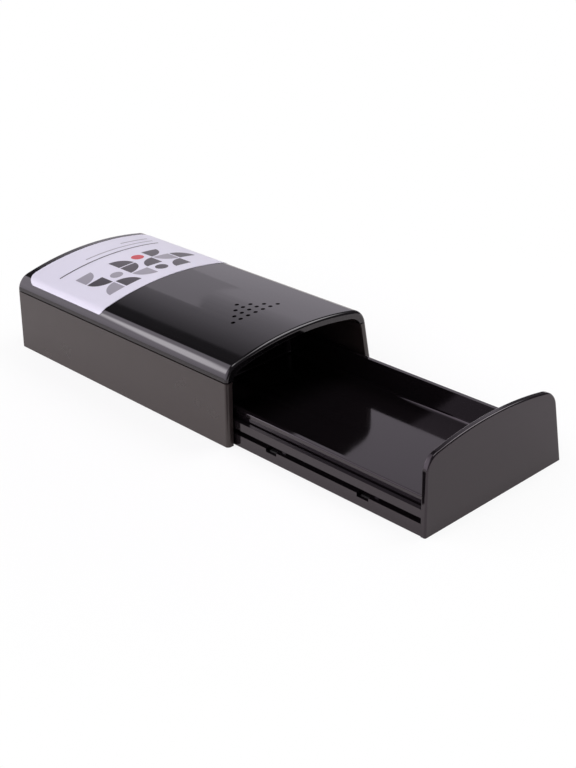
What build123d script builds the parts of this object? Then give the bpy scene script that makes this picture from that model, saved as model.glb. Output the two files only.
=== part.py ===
from build123d import *
from dataclasses import dataclass, replace
from math import cos, radians, sin, sqrt, tan
import os

# Magnetic key holder. An arched casing, open at the front and underneath, slides over a shallow
# key tray that ends in a front plate. Disc magnets shut in under the tray grip a steel surface.
# Millimetres, +Z up, -Y towards the front plate. The model stands as it does with the tray pulled
# out to its stop, and the origin is at the middle of its footprint, on the resting surface.

# Casing: length, arched section and walls
case_length = 120.5
foot_width = 64.0
case_height = 30.0
side_draft = 5.2            # degrees that every upright side leans in
crown_radius = 110.0
shoulder_radius = 6.2
side_wall = 2.4
roof_wall = 2.7
rear_wall = 2.2
mouth_shoulder = 5.6        # shoulder radius inside the casing
mouth_round = 1.2           # rounded rim round the mouth
mouth_inner_round = 0.2
rear_round = 1.2

# Seam between the case body and its top cover
seam_height = 21.6
seam_gap = 0.45             # height of the reveal groove
seam_depth = 0.95
tongue_thickness = 0.8
tongue_height = 1.3
tongue_setback = 1.6        # distance of the tongue behind the mouth
joint_gap = 0.1             # clearance of parts that are assembled once

# Vent holes in the cover: a triangle on a square grid that points to the rear
vent_diameter = 1.5
vent_pitch = 3.2
vent_first_row = 7          # holes in the row nearest the mouth
vent_setback = 20.2

# Printed label on the rear of the cover
label_thickness = 0.12
label_side_margin = 3.55    # from the casing's foot, seen from above
label_length = 47.4
label_rear_margin = 3.8
label_rear_corner = 5.5
label_front_corner = 1.0

# Drawer: travel, front plate and running gaps
travel = 82.0
plate_thickness = 2.0
plate_side_gap = 0.5
plate_top_gap = 0.25
plate_shoulder = 6.0
plate_round = 0.6           # rounded front edge of the plate
plate_back_round = 0.4
foot_round = 0.3
rear_gap = 0.8              # left behind the closed drawer
slide_gap = 0.2

# Drawer: the key tray and its flank, from the bottom up
skirt_thickness = 1.1
skirt_height = 4.0
slot_height = 1.8           # side slot that the casing's lower rail runs in
rib_height = 2.6
rib_groove_width = 0.5      # in the rib's top, along the foot of the tray's wall
rib_groove_depth = 1.0
flank_depth = 2.7           # from the flank's foot in to the tray's wall
tray_wall = 1.5
tray_height = 11.45
tray_corner = 2.0           # upright corners inside the tray
tray_floor_round = 1.0      # where its walls meet its floor
floor_top = 2.2
floor_thickness = 1.0
lip_round = 0.4             # rounded lip on the tray's walls

# Guide rails inside the casing
lower_rail_height = 1.4
lower_rail_reach = 1.1      # how far it enters the side slot
upper_rail_height = 1.8
rail_setback = 8.0          # rail ends behind the closed front plate
upper_rail_gap = 0.4        # beside the tray's wall
stop_length = 2.5           # stop lug at the rear of the drawer
stop_height = 1.5
stop_width = 1.5
ramp_share = 0.8            # of a lug's or a barb's height that its ramp takes

# Snap hooks of the base plate and the notches that take them
hook_count = 3              # on each side
first_hook = 24.75          # from the outside of the front plate
last_hook = 12.75           # from the rear end of the drawer
notch_length = 4.8
notch_depth = 1.1
hook_length = 3.2
hook_thickness = 0.8
barb_reach = 0.35
hook_drop = 0.6             # top of a hook below the skirt's top edge
web_length = 1.6            # web across the side slot in front of each notch
web_offset = 0.9
web_reach = 0.6

# Base plate and magnets
base_thickness = 0.7
magnet_diameter = 18.0
magnet_thickness = 1.0
magnet_side_margin = 11.4   # from the tray's wall in to the centre of a magnet
magnet_end_margin = 22.75   # from the ends of the drawer
magnet_gap = 0.15
ring_thickness = 1.0        # wall of the ring round each magnet

lean = radians(side_draft)

# Levels and places that follow from the driving dimensions
mouth_y = (travel - case_length) / 2
rear_y = mouth_y + case_length
drawer_front = mouth_y - travel
drawer_length = case_length - rear_wall - rear_gap
drawer_rear = drawer_front + drawer_length
plate_back = drawer_front + plate_thickness
rib_bottom = skirt_height + slot_height
rib_top = rib_bottom + rib_height
floor_bottom = floor_top - floor_thickness
far = 2 * case_length       # longer than anything that is cut


@dataclass(frozen=True)
class Arch:
    """Arched section: two sides that lean in, rounded shoulders and a shallow crown."""

    half: float
    apex: float
    crown: float
    shoulder: float

    def grown(self, by):
        """The same section, moved outwards by a distance all round."""
        return Arch(self.half + by / cos(lean), self.apex + by, self.crown + by, self.shoulder + by)

    def side(self, z):
        """Half width of the straight side at a height."""
        return self.half - z * tan(lean)

    def prism(self, y_from, y_to):
        """The section drawn out along Y, standing on the foot plane."""
        crown_z = self.apex - self.crown
        px = self.half - self.shoulder * cos(lean)
        pz = -self.shoulder * sin(lean) - crown_z
        along = pz * cos(lean) - px * sin(lean)
        reach = self.crown - self.shoulder
        rise = -along + sqrt(along**2 - px**2 - pz**2 + reach**2)
        centre = Vector(px - rise * sin(lean), y_from, pz + crown_z + rise * cos(lean))
        low = Vector(self.half - rise * sin(lean), y_from, rise * cos(lean))
        hub = Vector(0, y_from, crown_z)
        high = hub + (centre - hub) * (self.crown / reach)
        middle = centre + ((low - centre) + (high - centre)).normalized() * self.shoulder
        foot = Vector(self.half, y_from, 0)

        def flip(point):
            return Vector(-point.X, point.Y, point.Z)

        edges = [
            Line(foot, low),
            ThreePointArc(low, middle, high),
            ThreePointArc(high, Vector(0, y_from, self.apex), flip(high)),
            ThreePointArc(flip(high), flip(middle), flip(low)),
            Line(flip(low), flip(foot)),
            Line(flip(foot), foot),
        ]
        return extrude(Face(Wire(edges)), amount=y_to - y_from, dir=(0, 1, 0))


case_arch = Arch(foot_width / 2, case_height, crown_radius, shoulder_radius)
mouth_arch = Arch(
    case_arch.half - side_wall / cos(lean), case_height - roof_wall, crown_radius, mouth_shoulder
)
plate_arch = replace(
    mouth_arch,
    half=mouth_arch.half - plate_side_gap / cos(lean),
    apex=mouth_arch.apex - plate_top_gap,
    shoulder=plate_shoulder,
)
tray_half = plate_arch.half - flank_depth


def block(x, y, z):
    """A box from its lowest to its highest x, y and z."""
    corner = (min(x), min(y), min(z))
    size = (abs(x[1] - x[0]), abs(y[1] - y[0]), abs(z[1] - z[0]))
    return Pos(*corner) * Box(*size, align=(Align.MIN, Align.MIN, Align.MIN))


def slab(z_from, z_to):
    """Everything between two heights."""
    return block((-far, far), (-far, far), (z_from, z_to))


def both_sides(part):
    """A piece on the right, with its mirror image on the left."""
    return part + mirror(part, about=Plane.YZ)


def end_edges(part, y):
    """The arched edges of a prism's end face, without the lowest one, along the foot."""
    return part.edges().filter_by_position(Axis.Y, y, y).sort_by(Axis.Z)[1:]


def hook_places():
    """Places along the drawer of the snap hooks, from the front."""
    pitch = (drawer_length - first_hook - last_hook) / (hook_count - 1)
    return [drawer_front + first_hook + i * pitch for i in range(hook_count)]


def magnet_places():
    """Name and centre of each magnet."""
    side = tray_half - magnet_side_margin
    front = plate_back + magnet_end_margin
    rear = drawer_rear - magnet_end_margin
    for y_name, y in (("front", front), ("rear", rear)):
        for x_name, x in (("left", -side), ("right", side)):
            yield f"magnet_{y_name}_{x_name}", x, y


def disc(x, y, radius, z_from, z_to):
    """An upright cylinder between two heights."""
    foot = (Align.CENTER, Align.CENTER, Align.MIN)
    return Pos(x, y, z_from) * Cylinder(radius, z_to - z_from, align=foot)


def casing_shell():
    """The whole casing before the seam parts it into body and cover."""
    outside = case_arch.prism(mouth_y, rear_y)
    outside = fillet(end_edges(outside, mouth_y), mouth_round)
    outside = fillet(end_edges(outside, rear_y), rear_round)
    cavity = mouth_arch.prism(mouth_y - side_wall, rear_y - rear_wall)
    core = case_arch.grown(-seam_depth).prism(mouth_y + seam_depth, rear_y - seam_depth)
    groove = slab(seam_height - seam_gap / 2, seam_height + seam_gap / 2) - core
    shell = outside - cavity
    rim = shell.edges().filter_by_position(Axis.Y, mouth_y, mouth_y)
    inner_rim = rim.filter_by(lambda edge: cavity.distance_to(edge @ 0.5) < mouth_inner_round)
    return fillet(inner_rim, mouth_inner_round) - groove


def seam_tongue(gap):
    """The tongue that stands on the body's wall inside the cover, grown by a gap."""
    ring = mouth_arch.grown(tongue_thickness + gap).prism(
        mouth_y + tongue_setback - gap, rear_y - rear_wall + tongue_thickness + gap
    )
    ring -= mouth_arch.prism(mouth_y, rear_y - rear_wall)
    return ring & slab(seam_height, seam_height + tongue_height + gap)


def guide_rails():
    """Rails on the casing's sides: one runs in the drawer's slot, one lies over its rib."""
    low_middle = skirt_height + slot_height / 2
    low = (low_middle - lower_rail_height / 2, low_middle + lower_rail_height / 2)
    tip = plate_arch.side(low_middle) - lower_rail_reach
    front = mouth_y + plate_thickness + rail_setback
    lower = block((tip, mouth_arch.side(low[1]) + side_wall / 2), (front, rear_y - rear_wall / 2), low)

    high = (rib_top + slide_gap, rib_top + slide_gap + upper_rail_height)
    rail_end = drawer_rear - stop_length - slide_gap
    inner = tray_half + upper_rail_gap
    upper = block((inner, mouth_arch.side(high[1]) + side_wall / 2), (front, rail_end), high)
    return both_sides(lower + upper)


def case_body():
    """Side walls and rear wall in one moulding, with the rails and the tongue for the cover."""
    walls = casing_shell() & slab(0, seam_height)
    return walls + seam_tongue(0) + guide_rails()


def top_cover():
    """The arched cap, fitted over the body's tongue, with its vent holes."""
    cap = casing_shell() & slab(seam_height, case_height)
    cap -= seam_tongue(joint_gap)
    for row, count in enumerate(range(vent_first_row, 0, -2)):
        y = mouth_y + vent_setback + row * vent_pitch
        for place in range(count):
            x = (place - (count - 1) / 2) * vent_pitch
            cap -= disc(x, y, vent_diameter / 2, seam_height, case_height)
    return cap


def top_label():
    """A thin sheet that follows the cover's crown and shoulders."""
    rear = rear_y - label_rear_margin
    front = rear - label_length
    sheet = case_arch.grown(label_thickness).prism(front, rear) - case_arch.prism(front, rear)
    half = foot_width / 2 - label_side_margin
    outline = block((-half, half), (front, rear), (seam_height, far))
    upright = outline.edges().filter_by(Axis.Z).sort_by(Axis.Y)
    outline = fillet(upright[2:], label_rear_corner)
    upright = outline.edges().filter_by(Axis.Z).sort_by(Axis.Y)
    outline = fillet(upright[:2], label_front_corner)
    return sheet & outline


def drawer_tray():
    """Front plate, flanks, key tray and the underside's recess in one moulding."""
    plate = plate_arch.prism(drawer_front, plate_back)
    plate = fillet(end_edges(plate, drawer_front), plate_round)
    plate = fillet(end_edges(plate, plate_back), plate_back_round)

    flank = plate_arch.prism(drawer_front + plate_thickness / 2, drawer_rear)
    foot_edges = flank.edges().filter_by(Axis.Y).filter_by_position(Axis.Z, 0, 0)
    flank = fillet(foot_edges, foot_round)
    lower = flank & slab(0, skirt_height)
    rib = (flank & slab(rib_bottom, rib_top)) - both_sides(rib_groove())
    walls = block((-tray_half, tray_half), (plate_back, drawer_rear), (0, tray_height))
    lip = walls.faces().sort_by(Axis.Z)[-1].edges().filter_by(Axis.Y)
    walls = fillet(lip, lip_round)
    lugs = both_sides(stop_lug())
    tray = plate + lower + rib + walls + lugs

    inner = tray_half - tray_wall
    hollow = block((-inner, inner), (plate_back, drawer_rear - tray_wall), (floor_top, far))
    hollow = fillet(hollow.edges().filter_by(Axis.Z), tray_corner)
    hollow = fillet(hollow.faces().sort_by(Axis.Z)[0].edges(), tray_floor_round)
    tray -= hollow

    recess = plate_arch.grown(-skirt_thickness).prism(plate_back, drawer_rear - skirt_thickness)
    tray -= recess & slab(0, floor_bottom)
    for _, x, y in magnet_places():
        pocket_top = base_thickness + magnet_thickness + magnet_gap / 2
        tray -= disc(x, y, magnet_diameter / 2 + magnet_gap, floor_bottom - joint_gap, pocket_top)

    for y in hook_places():
        tray -= both_sides(hook_notch(y))
        tray += both_sides(slot_web(y))
    return tray


def rib_groove():
    """Groove in the rib's top, along the foot of the tray's wall."""
    across = (tray_half, tray_half + rib_groove_width)
    return block(across, (plate_back, drawer_rear), (rib_top - rib_groove_depth, rib_top))


def stop_lug():
    """Lug on the rib's rear end that meets the upper rail when the drawer is fully out."""
    lug = block(
        (tray_half - tray_wall / 2, tray_half + stop_width),
        (drawer_rear - stop_length, drawer_rear),
        (rib_top - slide_gap, rib_top + stop_height),
    )
    ramp = lug.edges().filter_by(Axis.X).sort_by(Axis.Z)[-2:].sort_by(Axis.Y)[-1]
    return chamfer(ramp, stop_height * ramp_share)


def hook_notch(y):
    """Notch in the skirt's top edge, and the way up to it for the hook."""
    along = (y - notch_length / 2, y + notch_length / 2)
    inner = tray_half + joint_gap
    wide = block((inner, foot_width / 2), along, (skirt_height - notch_depth, skirt_height + joint_gap))
    skirt_inside = plate_arch.side(0) - skirt_thickness
    way_up = block((inner, skirt_inside - joint_gap), along, (0, skirt_height))
    return wide + way_up


def slot_web(y):
    """Short web across the side slot, just in front of a notch."""
    rear = y - notch_length / 2 - web_offset
    across = (tray_half - tray_wall / 2, tray_half + web_reach)
    return block(across, (rear - web_length, rear), (skirt_height - joint_gap, rib_bottom + joint_gap))


def base_plate():
    """Flat cover under the tray, with a ring round each magnet and hooks for the notches."""
    edge = plate_arch.side(base_thickness) - skirt_thickness / cos(lean) - joint_gap
    ends = (plate_back + joint_gap, drawer_rear - skirt_thickness - joint_gap)
    base = block((-edge, edge), ends, (0, base_thickness))
    for _, x, y in magnet_places():
        inner = magnet_diameter / 2 + magnet_gap
        ring_top = floor_bottom - joint_gap
        ring = disc(x, y, inner + ring_thickness, base_thickness, ring_top)
        base += ring - disc(x, y, inner, base_thickness, ring_top)
    for y in hook_places():
        base += both_sides(snap_hook(y))
    return base


def snap_hook(y):
    """An upright tongue whose barb hooks over the bottom of its notch."""
    along = (y - hook_length / 2, y + hook_length / 2)
    notch_bottom = skirt_height - notch_depth
    outer = plate_arch.side(notch_bottom) - skirt_thickness / cos(lean) - joint_gap
    top = skirt_height - hook_drop
    stem = block((outer - hook_thickness, outer), along, (0, top))
    barb = block((outer, outer + barb_reach), along, (notch_bottom + joint_gap, top))
    lead_in = barb.edges().filter_by(Axis.Y).sort_by(Axis.Z)[-2:].sort_by(Axis.X)[-1]
    return stem + chamfer(lead_in, barb_reach * ramp_share)


def magnet(x, y):
    """One disc magnet, lying on the base plate."""
    return disc(x, y, magnet_diameter / 2, base_thickness, base_thickness + magnet_thickness)


nodes = {
    "case_body": case_body(),
    "top_cover": top_cover(),
    "top_label": top_label(),
    "drawer_tray": drawer_tray(),
    "base_plate": base_plate(),
}
for name, x, y in magnet_places():
    nodes[name] = magnet(x, y)

os.makedirs("parts", exist_ok=True)
for name, part in nodes.items():
    part.label = name
    export_step(part, f"parts/{name}.step")
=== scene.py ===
from math import cos, pi, radians, sin, sqrt

import bmesh
import bpy
from mathutils import Matrix, Vector


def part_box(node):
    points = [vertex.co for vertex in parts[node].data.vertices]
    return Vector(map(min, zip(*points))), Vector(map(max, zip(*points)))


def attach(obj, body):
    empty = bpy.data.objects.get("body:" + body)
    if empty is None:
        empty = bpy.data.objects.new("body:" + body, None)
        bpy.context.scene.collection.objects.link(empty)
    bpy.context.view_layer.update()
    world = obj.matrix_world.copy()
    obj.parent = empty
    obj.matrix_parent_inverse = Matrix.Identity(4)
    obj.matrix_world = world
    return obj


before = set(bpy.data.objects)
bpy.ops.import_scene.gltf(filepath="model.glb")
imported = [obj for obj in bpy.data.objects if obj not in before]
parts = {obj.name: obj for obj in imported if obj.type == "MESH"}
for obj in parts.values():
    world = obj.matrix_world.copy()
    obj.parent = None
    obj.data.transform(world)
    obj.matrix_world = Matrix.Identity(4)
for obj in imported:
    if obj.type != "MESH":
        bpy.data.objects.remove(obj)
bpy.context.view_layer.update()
scene = bpy.context.scene
mm = 0.001

# Camera: stands to the left of the tray's front plate and looks down along the holder.
# It has a short telephoto lens, as for small goods on a table, and no shift.
camera_place = Vector((-0.2674, -0.3389, 0.2170))
camera_bearing = radians(-39.32)  # from the holder's own length, seen from above
camera_tilt = radians(26.35)      # below the horizon
camera_roll = radians(-5.03)
lens_mm = 67.6

camera = bpy.data.objects.new("camera", bpy.data.cameras.new("camera"))
camera.data.lens = lens_mm
camera.data.clip_start = 10 * mm
camera.matrix_world = (
    Matrix.Translation(camera_place)
    @ Matrix.Rotation(camera_bearing, 4, "Z")
    @ Matrix.Rotation(pi / 2 - camera_tilt, 4, "X")
    @ Matrix.Rotation(camera_roll, 4, "Z")
)
scene.collection.objects.link(camera)
scene.camera = camera
scene.view_settings.view_transform = "Standard"


# Studio room: behind the table white paper bends over in an arch along the holder, under a dark
# ceiling. A lit screen with a sharp right edge stands on the left, and the rest of the room is dim.
def add(tree, kind, inputs=None, **settings):
    """A new node with its settings; a socket given as an input is linked, and a value is set."""
    made = tree.nodes.new(kind)
    for name, value in settings.items():
        setattr(made, name, value)
    for name, value in (inputs or {}).items():
        if isinstance(value, bpy.types.NodeSocket):
            tree.links.new(value, made.inputs[name])
        else:
            made.inputs[name].default_value = value
    return made


def towards(bearing, elevation):
    """Unit vector at a bearing to the left of +Y and a height above the horizon, in degrees."""
    b, e = radians(bearing), radians(elevation)
    return Vector((-sin(b) * cos(e), cos(b) * cos(e), sin(e)))


# Heights above the horizon in degrees, and how bright the paper and the screen are there.
# The paper's height is measured square to the holder, because it arches along it.
paper_levels = (
    (0, 0.6), (12, 0.77), (29, 0.98), (37, 0.78), (45, 0.65), (51, 0.51), (60, 0.26), (61, 0.08)
)
screen_levels = ((0, 1.5), (7, 1.75), (14, 2.0), (35, 1.9), (45, 1.5), (60, 0.3), (75, 0.08))
screen_ends = (2, 110)            # bearings in degrees to the left of +Y
screen_blurs = (0.05, 0.30)       # softness of its two ends
paper_end = -50                   # bearing of the paper's right end
paper_blur = 0.025
dim_level = 0.15                  # of the room to the right of the paper and behind the camera
room_tint = (1.0, 0.94, 1.04, 1)  # the paper is a faint lilac


def level_ramp(tree, height, levels):
    """Brightness by height above the horizon, from stops in degrees."""
    ramp = add(tree, "ShaderNodeValToRGB", {"Fac": height})
    while len(ramp.color_ramp.elements) < len(levels):
        ramp.color_ramp.elements.new(1.0)
    for stop, (elevation, level) in zip(ramp.color_ramp.elements, levels):
        stop.position = sin(radians(elevation))
        stop.color = (level, level, level, 1)
    return ramp.outputs["Color"]


def side_of(tree, way, bearing, blur):
    """0 to the right of a bearing and 1 to its left, blurred over the edge."""
    across = towards(bearing + 90, 0)
    facing = add(tree, "ShaderNodeVectorMath", {0: way, 1: across}, operation="DOT_PRODUCT")
    edge = add(
        tree,
        "ShaderNodeMapRange",
        {"Value": facing.outputs["Value"], "From Min": -blur, "From Max": blur},
        interpolation_type="SMOOTHSTEP",
    )
    return edge.outputs["Result"]


world = bpy.data.worlds.new("paper_walls_and_dark_ceiling")
scene.world = world
world.use_nodes = True
tree = world.node_tree
tree.nodes.clear()
way = add(tree, "ShaderNodeTexCoord").outputs["Generated"]
height = add(tree, "ShaderNodeSeparateXYZ", {"Vector": way}).outputs["Z"]
past_near_end, past_far_end = (
    side_of(tree, way, bearing, blur) for bearing, blur in zip(screen_ends, screen_blurs)
)
on_screen = add(
    tree,
    "ShaderNodeMath",
    {0: past_near_end, 1: past_far_end},
    operation="SUBTRACT",
    use_clamp=True,
)
flattened = add(tree, "ShaderNodeVectorMath", {0: way, 1: (1, 0, 1)}, operation="MULTIPLY")
square_way = add(tree, "ShaderNodeVectorMath", {0: flattened.outputs["Vector"]}, operation="NORMALIZE")
arch_height = add(tree, "ShaderNodeSeparateXYZ", {"Vector": square_way.outputs["Vector"]}).outputs["Z"]
on_paper = side_of(tree, way, paper_end, paper_blur)
backdrop = add(
    tree,
    "ShaderNodeMix",
    {"Factor": on_paper, "A": dim_level, "B": level_ramp(tree, arch_height, paper_levels)},
    data_type="FLOAT",
)
room = add(
    tree,
    "ShaderNodeMix",
    {
        "Factor": on_screen.outputs["Value"],
        "A": backdrop.outputs["Result"],
        "B": level_ramp(tree, height, screen_levels),
    },
    data_type="FLOAT",
)

# The camera itself sees plain white behind the table.
rays = add(tree, "ShaderNodeLightPath")
seen = add(
    tree,
    "ShaderNodeMath",
    {0: rays.outputs["Is Camera Ray"], 1: rays.outputs["Is Transmission Ray"]},
    operation="MAXIMUM",
)
white = add(
    tree,
    "ShaderNodeMix",
    {"Factor": seen.outputs["Value"], "A": room.outputs["Result"], "B": 1.0},
    data_type="FLOAT",
)
tint = add(
    tree,
    "ShaderNodeMix",
    {"Factor": seen.outputs["Value"], 6: room_tint, 7: (1, 1, 1, 1)},
    data_type="RGBA",
)
paper = add(
    tree, "ShaderNodeBackground", {"Color": tint.outputs[2], "Strength": white.outputs["Result"]}
)
add(tree, "ShaderNodeOutputWorld", {"Surface": paper.outputs["Background"]})


# Table: a white laminate top. Near the holder it keeps a faint shadow, and further out it is as
# white as the paper. The plastic mirrors it a little warm, and dark where the holder stands.
def linear(code):
    """Linear red, green, blue and alpha of an sRGB colour written as hex."""
    levels = [int(code[i : i + 2], 16) / 255 for i in (1, 3, 5)]
    return [c / 12.92 if c <= 0.04045 else ((c + 0.055) / 1.055) ** 2.4 for c in levels] + [1.0]


def new_material(name):
    """An empty node material and its tree."""
    material = bpy.data.materials.new(name)
    material.use_nodes = True
    material.node_tree.nodes.clear()
    return material, material.node_tree


def link_piece(name, mesh, material):
    """A new object in the scene with one material."""
    piece = bpy.data.objects.new(name, mesh)
    mesh.materials.append(material)
    scene.collection.objects.link(piece)
    return piece


def card_mesh(name, low, high):
    """A flat rectangle at height 0 between two corners."""
    (x0, y0), (x1, y1) = low, high
    mesh = bpy.data.meshes.new(name)
    mesh.from_pydata([(x0, y0, 0), (x1, y0, 0), (x1, y1, 0), (x0, y1, 0)], [], [(0, 1, 2, 3)])
    return mesh


table_half = 3.0
table_colour = "#FCFCFC"
shadow_share = 0.17               # how much of the lamps' shading the eye sees near the holder
shadow_reach = (0.07, 0.17)       # metres from the holder's middle
mirror_share = 0.50               # how much of the lamps' shading the plastic mirrors
mirror_tint = (1.0, 0.93, 0.91, 1)
stand_half = (0.030, 0.100)       # half size of the place that the holder stands on
stand_blur = 0.004

mesh = card_mesh("table", (-table_half, -table_half), (table_half, table_half))
material, tree = new_material("matt_white_laminate")
place = add(tree, "ShaderNodeTexCoord")
distance = add(tree, "ShaderNodeVectorMath", {0: place.outputs["Object"]}, operation="LENGTH")
shading = add(
    tree,
    "ShaderNodeMapRange",
    {
        "Value": distance.outputs["Value"],
        "From Min": shadow_reach[0],
        "From Max": shadow_reach[1],
        "To Min": 1 - shadow_share,
        "To Max": 1.0,
    },
    interpolation_type="SMOOTHSTEP",
)
rays = add(tree, "ShaderNodeLightPath")
to_eye = add(
    tree,
    "ShaderNodeMath",
    {0: rays.outputs["Is Camera Ray"], 1: shading.outputs["Result"]},
    operation="MULTIPLY",
)
mirrored = add(
    tree,
    "ShaderNodeMath",
    {0: rays.outputs["Is Glossy Ray"], 1: rays.outputs["Is Transmission Ray"]},
    operation="MAXIMUM",
)
faded = add(
    tree, "ShaderNodeMath", {0: mirrored.outputs["Value"], 1: 1 - mirror_share}, operation="MULTIPLY"
)
across = add(tree, "ShaderNodeSeparateXYZ", {"Vector": place.outputs["Object"]})
outside = []
for axis, half in (("X", stand_half[0]), ("Y", stand_half[1])):
    away = add(tree, "ShaderNodeMath", {0: across.outputs[axis]}, operation="ABSOLUTE")
    beyond = add(
        tree,
        "ShaderNodeMapRange",
        {"Value": away.outputs["Value"], "From Min": half - stand_blur, "From Max": half},
    )
    outside.append(beyond.outputs["Result"])
clear = add(tree, "ShaderNodeMath", {0: outside[0], 1: outside[1]}, operation="MAXIMUM")
to_mirror = add(
    tree, "ShaderNodeMath", {0: faded.outputs["Value"], 1: clear.outputs["Value"]}, operation="MULTIPLY"
)
whiteness = add(
    tree,
    "ShaderNodeMath",
    {0: to_eye.outputs["Value"], 1: to_mirror.outputs["Value"]},
    operation="MAXIMUM",
)
lit = add(tree, "ShaderNodeBsdfDiffuse", {"Color": linear(table_colour)})
glow = add(
    tree,
    "ShaderNodeMix",
    {"Factor": rays.outputs["Is Glossy Ray"], 6: (1, 1, 1, 1), 7: mirror_tint},
    data_type="RGBA",
)
plain = add(tree, "ShaderNodeEmission", {"Color": glow.outputs[2], "Strength": 1.0})
both = add(
    tree,
    "ShaderNodeMixShader",
    {0: whiteness.outputs["Value"], 1: lit.outputs["BSDF"], 2: plain.outputs["Emission"]},
)
add(tree, "ShaderNodeOutputMaterial", {"Surface": both.outputs["Shader"]})
table = link_piece("table", mesh, material)


# Softboxes: cloth-fronted lamps that fade out towards their edges. The left one draws the bright
# band on the cover's shoulder, the right one the line on its rim, and the one overhead fills in.
def softbox(name, place, aim, width, height, level, fade=0.6, turn=0.0):
    """A lit card with faded edges that faces a point. The camera doesn't see it."""
    mesh = card_mesh(name, (-width / 2, -height / 2), (width / 2, height / 2))
    material, tree = new_material(name + "_cloth")
    coordinates = add(tree, "ShaderNodeTexCoord")
    at = add(tree, "ShaderNodeSeparateXYZ", {"Vector": coordinates.outputs["Object"]})
    strength = level
    for axis, half in (("X", width / 2), ("Y", height / 2)):
        out = add(tree, "ShaderNodeMath", {0: at.outputs[axis]}, operation="ABSOLUTE")
        lit = add(
            tree,
            "ShaderNodeMapRange",
            {"Value": out.outputs["Value"], "From Min": half, "From Max": half * (1 - fade)},
            interpolation_type="SMOOTHSTEP",
        )
        strength = add(
            tree, "ShaderNodeMath", {0: lit.outputs["Result"], 1: strength}, operation="MULTIPLY"
        ).outputs["Value"]
    light = add(tree, "ShaderNodeEmission", {"Strength": strength})
    through = add(tree, "ShaderNodeBsdfTransparent")
    front = add(tree, "ShaderNodeAddShader", {0: light.outputs["Emission"], 1: through.outputs["BSDF"]})
    add(tree, "ShaderNodeOutputMaterial", {"Surface": front.outputs["Shader"]})
    card = link_piece(name, mesh, material)
    facing = (place - aim).to_track_quat("Z", "Y").to_matrix().to_4x4()
    card.matrix_world = Matrix.Translation(place) @ facing @ Matrix.Rotation(radians(turn), 4, "Z")
    card.visible_camera = False


left_shoulder = Vector((-0.03, 0.0, 0.027))
left_place = left_shoulder + 0.91 * towards(31.4, 28.4)
softbox("softbox_left", left_place, left_shoulder, width=0.505, height=0.205, level=4.0, turn=-33)
mouth_rim = Vector((0.0, -0.02, 0.03))
right_place = mouth_rim + 0.7 * towards(-110, 53)
softbox("softbox_right", right_place, mouth_rim, width=0.5, height=0.5, level=4.5, fade=0.4)
holder_middle = Vector((0, 0, 0.02))
overhead_place = Vector((0, -0.12, 0.88))
softbox("softbox_overhead", overhead_place, holder_middle, width=0.5, height=0.5, level=4.2)

# Grey panel: a flat board far behind the table on the right, a little darker than the paper low
# down and brighter than it high up. The cover mirrors it as a faint patch with crisp edges.
panel_levels = (0.68, 0.98)       # at its lowest and its highest corner
panel_corners = (
    (0.918, 1.494, 0.962),
    (1.252, 1.461, 0.545),
    (1.108, 1.607, 0.436),
    (0.812, 1.607, 0.871),
)
panel_heights = [corner[2] for corner in panel_corners]
mesh = bpy.data.meshes.new("grey_panel")
mesh.from_pydata(panel_corners, [], [(0, 1, 2, 3)])
material, tree = new_material("lit_grey_board")
where = add(tree, "ShaderNodeTexCoord").outputs["Object"]
up = add(tree, "ShaderNodeSeparateXYZ", {"Vector": where}).outputs["Z"]
level = add(
    tree,
    "ShaderNodeMapRange",
    {
        "Value": up,
        "From Min": min(panel_heights),
        "From Max": max(panel_heights),
        "To Min": panel_levels[0],
        "To Max": panel_levels[1],
    },
)
board = add(tree, "ShaderNodeEmission", {"Color": room_tint, "Strength": level.outputs["Result"]})
add(tree, "ShaderNodeOutputMaterial", {"Surface": board.outputs["Emission"]})
panel = link_piece("grey_panel", mesh, material)
panel.visible_camera = False
panel.visible_shadow = False
panel.visible_transmission = False


# Black flag: a dull black card on the table, to the left of the mouth. It keeps the mouth's
# rounded upright corner dark. Only the plastic mirrors it.
flag_from = (-0.120, -0.085)
flag_to = (-0.045, -0.026)
flag_lift = 0.2 * mm
mesh = card_mesh("black_flag", flag_from, flag_to)
material, tree = new_material("dull_black_card")
card = add(tree, "ShaderNodeBsdfDiffuse", {"Color": linear("#101010")})
add(tree, "ShaderNodeOutputMaterial", {"Surface": card.outputs["BSDF"]})
flag = link_piece("black_flag", mesh, material)
flag.location.z = flag_lift
flag.visible_camera = False
flag.visible_diffuse = False
flag.visible_shadow = False
flag.visible_transmission = False


# Case body: the side walls and the rear wall, injection moulded in black ABS in one piece.
# The tool is spark eroded, so the walls have a fine even grain and a satin sheen, faintly brown.
noise_low, noise_high = 0.3, 0.7  # a noise texture mostly stays between these


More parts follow.
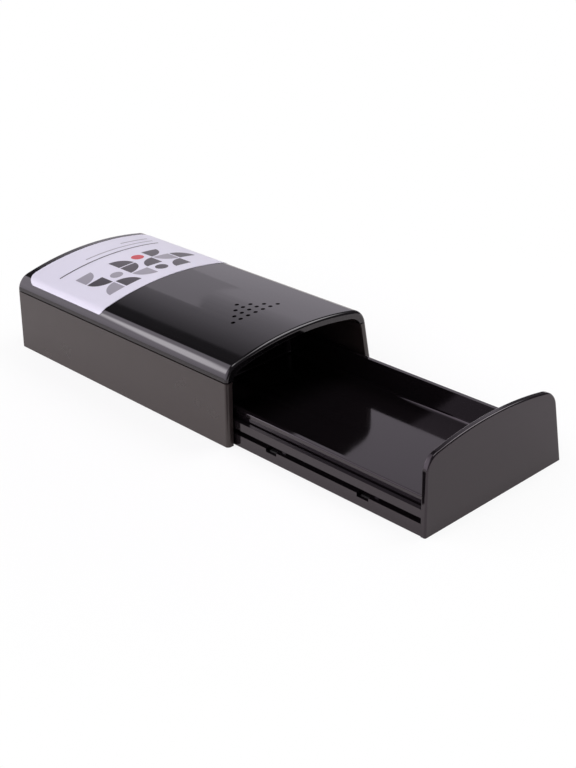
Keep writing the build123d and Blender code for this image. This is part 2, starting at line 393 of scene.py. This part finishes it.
def moulded_abs(
    name, code, tint, roughness, spread, grain, grain_height, wave, wave_height, specular=0.5
):
    """Moulded ABS with a grain, a slight waviness and a sheen that varies; sizes in metres."""
    material, tree = new_material(name)
    where = add(tree, "ShaderNodeTexCoord").outputs["Object"]
    fine = add(
        tree,
        "ShaderNodeTexNoise",
        {"Vector": where, "Scale": 1 / grain, "Detail": 2.0, "Roughness": 0.6},
    )
    broad = add(
        tree,
        "ShaderNodeTexNoise",
        {"Vector": where, "Scale": 1 / wave, "Detail": 1.0, "Roughness": 0.4},
    )
    waves = add(
        tree,
        "ShaderNodeBump",
        {"Strength": 1.0, "Distance": wave_height, "Height": broad.outputs["Fac"]},
    )
    relief = add(
        tree,
        "ShaderNodeBump",
        {
            "Strength": 1.0,
            "Distance": grain_height,
            "Height": fine.outputs["Fac"],
            "Normal": waves.outputs["Normal"],
        },
    )
    sheen = add(
        tree,
        "ShaderNodeMapRange",
        {
            "Value": broad.outputs["Fac"],
            "From Min": noise_low,
            "From Max": noise_high,
            "To Min": roughness * (1 - spread),
            "To Max": roughness * (1 + spread),
        },
    )
    surface = add(
        tree,
        "ShaderNodeBsdfPrincipled",
        {
            "Base Color": linear(code),
            "Roughness": sheen.outputs["Result"],
            "IOR": 1.54,
            "Specular IOR Level": specular,
            "Specular Tint": linear(tint),
            "Normal": relief.outputs["Normal"],
        },
    )
    add(tree, "ShaderNodeOutputMaterial", {"Surface": surface.outputs["BSDF"]})
    return material


def dress(name, material):
    """Give a piece of the part its one material."""
    parts[name].data.materials.clear()
    parts[name].data.materials.append(material)


# The eroded grain is some 0.1 mm across, too fine for the picture, and is drawn coarser.
satin_black_abs = moulded_abs(
    "satin_black_ABS",
    code="#2A2322",
    tint="#FFFAF8",
    roughness=0.30,
    spread=0.10,
    grain=0.35 * mm,
    grain_height=0.004 * mm,
    wave=9 * mm,
    wave_height=0.010 * mm,
)
dress("case_body", satin_black_abs)

# Top cover: the arched cap, moulded in the same black ABS against a polished tool. It is gloss,
# with the very slight waviness of a polished moulding, which bends the edges that it mirrors.
gloss_black_abs = moulded_abs(
    "gloss_black_ABS",
    code="#080708",
    tint="#FFFAFF",
    roughness=0.045,
    spread=0.25,
    grain=0.3 * mm,
    grain_height=0.0004 * mm,
    wave=5 * mm,
    wave_height=0.004 * mm,
)
dress("top_cover", gloss_black_abs)

# Drawer tray: front plate, flanks and key tray in one semi-gloss moulding of black ABS.
# The floor mirrors the room softly, and the plate shows a trace of the tool's lapping.
semi_gloss_black_abs = moulded_abs(
    "semi_gloss_black_ABS",
    code="#100D0F",
    tint="#FFF2FC",
    roughness=0.08,
    spread=0.15,
    grain=0.3 * mm,
    grain_height=0.0010 * mm,
    wave=6 * mm,
    wave_height=0.006 * mm,
)
dress("drawer_tray", semi_gloss_black_abs)

# Base plate: the flat cover that snaps in under the tray and shuts in the magnets.
# Black ABS from a tool with a fine matt finish. Its dark colour and weak reflection are painted shade:
# they keep the plate's hooks dark where they show in the tray's notches.
matt_black_abs_darkened_as_shade = moulded_abs(
    "matt_black_ABS_darkened_as_shade",
    # painted shade: this dark colour and the weak specular below keep the hooks in the notches dark
    code="#0D0C0C",
    tint="#FFFFFF",
    roughness=0.5,
    spread=0.10,
    grain=0.4 * mm,
    grain_height=0.003 * mm,
    wave=9 * mm,
    wave_height=0.010 * mm,
    specular=0.12,
)
dress("base_plate", matt_black_abs_darkened_as_shade)

# Magnets: four sintered neodymium discs, barrel plated with nickel, which leaves the flat faces
# bright and very slightly pebbled. They lie loose in their rings.
nickel_pebble = 0.5 * mm
nickel_pebble_height = 0.002 * mm
nickel_haze = (0.16, 0.26)        # least and greatest roughness of the plating
material, tree = new_material("barrel_plated_nickel")
where = add(tree, "ShaderNodeTexCoord").outputs["Object"]
pebble = add(
    tree,
    "ShaderNodeTexNoise",
    {"Vector": where, "Scale": 1 / nickel_pebble, "Detail": 2.0, "Roughness": 0.5},
)
relief = add(
    tree,
    "ShaderNodeBump",
    {"Strength": 1.0, "Distance": nickel_pebble_height, "Height": pebble.outputs["Fac"]},
)
haze = add(
    tree,
    "ShaderNodeMapRange",
    {
        "Value": pebble.outputs["Fac"],
        "From Min": noise_low,
        "From Max": noise_high,
        "To Min": nickel_haze[0],
        "To Max": nickel_haze[1],
    },
)
surface = add(
    tree,
    "ShaderNodeBsdfPrincipled",
    {
        "Base Color": linear("#C9C3B8"),
        "Metallic": 1.0,
        "Roughness": haze.outputs["Result"],
        "Normal": relief.outputs["Normal"],
    },
)
add(tree, "ShaderNodeOutputMaterial", {"Surface": surface.outputs["BSDF"]})
for name in ("magnet_front_left", "magnet_front_right", "magnet_rear_left", "magnet_rear_right"):
    dress(name, material)


# Label: a white film, printed and varnished, stuck to the rear of the cover and down its shoulders.
# The varnish gives it an even low gloss, and the film follows every small wave of the cover.
film_wave = 4 * mm
film_wave_height = 0.006 * mm
varnish_roughness = 0.3
varnish_spread = 0.08


def varnished(name, code):
    """Printed or bare film under one coat of varnish, with the waviness of the film."""
    material, tree = new_material(name)
    where = add(tree, "ShaderNodeTexCoord").outputs["Object"]
    broad = add(tree, "ShaderNodeTexNoise", {"Vector": where, "Scale": 1 / film_wave, "Detail": 2.0})
    relief = add(
        tree,
        "ShaderNodeBump",
        {"Strength": 1.0, "Distance": film_wave_height, "Height": broad.outputs["Fac"]},
    )
    sheen = add(
        tree,
        "ShaderNodeMapRange",
        {
            "Value": broad.outputs["Fac"],
            "From Min": noise_low,
            "From Max": noise_high,
            "To Min": varnish_roughness * (1 - varnish_spread),
            "To Max": varnish_roughness * (1 + varnish_spread),
        },
    )
    surface = add(
        tree,
        "ShaderNodeBsdfPrincipled",
        {
            "Base Color": linear(code),
            "Roughness": sheen.outputs["Result"],
            "IOR": 1.46,
            "Normal": relief.outputs["Normal"],
        },
    )
    add(tree, "ShaderNodeOutputMaterial", {"Surface": surface.outputs["BSDF"]})
    return material


dress("top_label", varnished("varnished_white_film", "#D8D6E2"))

# Print on the label: a sheet of quarter rounds and discs in dark and pale grey with one red tile,
# and three thin rules nearer the rear. Each ink is one closed layer that lies on the film.
label_low, label_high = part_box("top_label")
apex = label_high[2]
label_front, label_rear = label_low[1], label_high[1]
crown_radius = 110.12 * mm        # of the cover's crown, with the film's thickness
ink_lift = 0.005 * mm             # gap between the film and the ink's underside
ink_thickness = 0.015 * mm
arc_step = radians(7.5)
strip = 1.0 * mm                  # the ink follows the arch in strips of this width
same_point = 1e-7                 # metres within which a cut meets a corner


def on_arch(x, lift):
    """Height of the label's crown at a place across it, plus a lift."""
    return apex + lift - crown_radius + sqrt(crown_radius**2 - x * x)


def ink_layer(name, outlines, material):
    """Closed layers of ink with the given outlines, bent over the crown, as one piece."""
    shape = bmesh.new()
    for outline in outlines:
        shape.faces.new([shape.verts.new((x, y, 0)) for x, y in outline])
    reach = max(abs(vert.co.x) for vert in shape.verts)
    for place in range(-int(reach / strip), int(reach / strip) + 1):
        geometry = shape.verts[:] + shape.edges[:] + shape.faces[:]
        bmesh.ops.bisect_plane(
            shape,
            geom=geometry,
            dist=same_point,
            plane_co=(place * strip, 0, 0),
            plane_no=(1, 0, 0),
        )
    top = shape.faces[:]
    bmesh.ops.recalc_face_normals(shape, faces=top)
    if top[0].normal.z < 0:
        bmesh.ops.reverse_faces(shape, faces=top)
    bottom = bmesh.ops.duplicate(shape, geom=shape.verts[:] + shape.edges[:] + top)
    lower = [item for item in bottom["geom"] if isinstance(item, bmesh.types.BMFace)]
    low_verts = {vert for face in lower for vert in face.verts}
    bmesh.ops.reverse_faces(shape, faces=lower)
    pairs = bottom["vert_map"]
    rims = [edge for edge in shape.edges if edge.is_boundary and not set(edge.verts) & low_verts]
    for edge in rims:
        loop = edge.link_loops[0]
        a, b = loop.vert, loop.link_loop_next.vert
        shape.faces.new((b, a, pairs[a], pairs[b]))
    for vert in shape.verts:
        lift = ink_lift if vert in low_verts else ink_lift + ink_thickness
        vert.co.z = on_arch(vert.co.x, lift)
    mesh = bpy.data.meshes.new(name)
    shape.to_mesh(mesh)
    shape.free()
    piece = link_piece(name, mesh, material)
    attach(piece, "casing")


def quarter_round(x, y, size, turn):
    """A quarter disc that fills a square tile from one of its four corners."""
    corner_x, corner_y = [(x, y), (x + size, y), (x + size, y + size), (x, y + size)][turn]
    first = radians(90 * turn)
    steps = round(radians(90) / arc_step)
    angles = [first + i * arc_step for i in range(steps + 1)]
    arc = [(corner_x + size * cos(angle), corner_y + size * sin(angle)) for angle in angles]
    return [(corner_x, corner_y)] + arc


disc_share = 0.36                 # radius of a disc, as a share of its tile


def disc_outline(x, y, size):
    """A disc centred in a square tile."""
    middle_x, middle_y = x + size / 2, y + size / 2
    radius = size * disc_share
    angles = [i * arc_step for i in range(round(2 * pi / arc_step))]
    return [(middle_x + radius * cos(angle), middle_y + radius * sin(angle)) for angle in angles]


def bar(x_from, x_to, y, width):
    """A straight rule across the label."""
    return [(x_from, y), (x_to, y), (x_to, y + width), (x_from, y + width)]


tile = 6.6 * mm
tile_gap = 0.7 * mm
pattern_left = -20.0 * mm
pattern_front = label_front + 5.5 * mm
# Rows from the front to the rear: quarter rounds by the corner they start from, o a disc, . bare
dark_tiles = (".0.o1.", "2.31.0", "..0.3.")
grey_tiles = ("1.2...", ".o..2.", "3.....")
red_tile = (3, 2)


def tiles(rows):
    """Outlines of one ink's tiles."""
    for row, line in enumerate(rows):
        for column, mark in enumerate(line):
            x = pattern_left + column * (tile + tile_gap)
            y = pattern_front + row * (tile + tile_gap)
            if mark == "o":
                yield disc_outline(x, y, tile)
            elif mark != ".":
                yield quarter_round(x, y, tile, int(mark))


red_x = pattern_left + red_tile[0] * (tile + tile_gap)
red_y = pattern_front + red_tile[1] * (tile + tile_gap)
rule_width = 0.7 * mm
rule_right = 22 * mm
# Length of each rule, and its distance from the label's rear edge
rule_places = ((44 * mm, 14 * mm), (30 * mm, 10.5 * mm), (12 * mm, 7 * mm))
rules = [
    bar(rule_right - length, rule_right, label_rear - back, rule_width) for length, back in rule_places
]
ink_layer("label_print_dark", list(tiles(dark_tiles)) + rules[:1], varnished("dark_grey_ink", "#3C383E"))
ink_layer("label_print_grey", list(tiles(grey_tiles)) + rules[1:], varnished("pale_grey_ink", "#94919A"))
ink_layer("label_print_red", [disc_outline(red_x, red_y, tile)], varnished("red_ink", "#C23239"))
